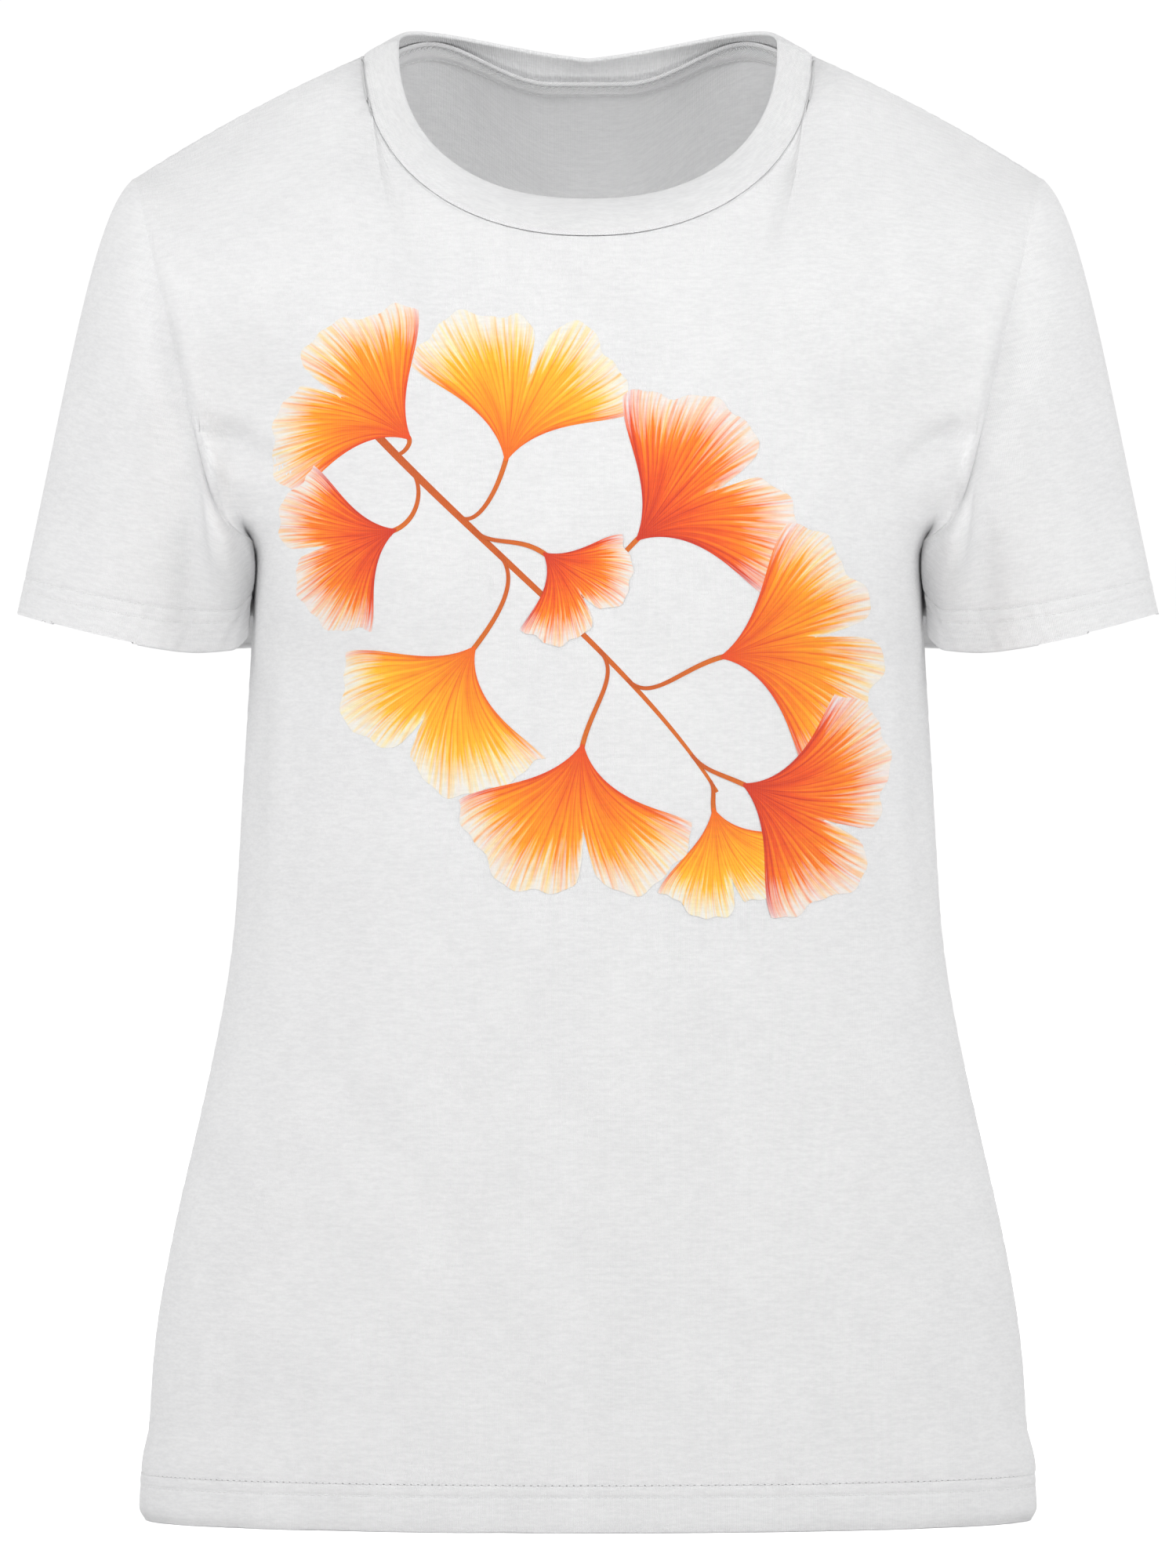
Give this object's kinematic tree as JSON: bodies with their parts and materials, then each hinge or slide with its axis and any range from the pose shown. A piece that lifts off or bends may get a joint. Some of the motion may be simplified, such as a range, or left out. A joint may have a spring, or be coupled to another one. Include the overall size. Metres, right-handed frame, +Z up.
{
  "type": "t-shirt",
  "caption": "Women's short-sleeved crew-neck T-shirt in thin jersey, standing in its worn shape: two panels, set-in sleeves, ribbed neckband, stitched hems and a leaf print on the chest.",
  "frame": {"origin": "middle of the hem's opening, on the surface that the hem stands on", "axes": "+Z up from the hem to the neck, -Y out of the chest, +X towards the wearer's left arm"},
  "size_m": [0.5062, 0.232, 0.6609],
  "materials": {
    "jersey": "matt white cotton jersey",
    "neck_rib": "matt white rib knit",
    "neck_tape": "matt white twill tape",
    "print_ink": "matt ink soaked into the knit",
    "sewing_thread": "slightly glossy white thread"
  },
  "bodies": {
    "root": {"front_panel": "jersey", "back_panel": "jersey", "bottom_hem": "jersey", "left_sleeve": "jersey", "right_sleeve": "jersey", "left_sleeve_hem": "jersey", "right_sleeve_hem": "jersey", "neckband": "neck_rib", "neck_tape": "neck_tape"}
  },
  "joints": []
}
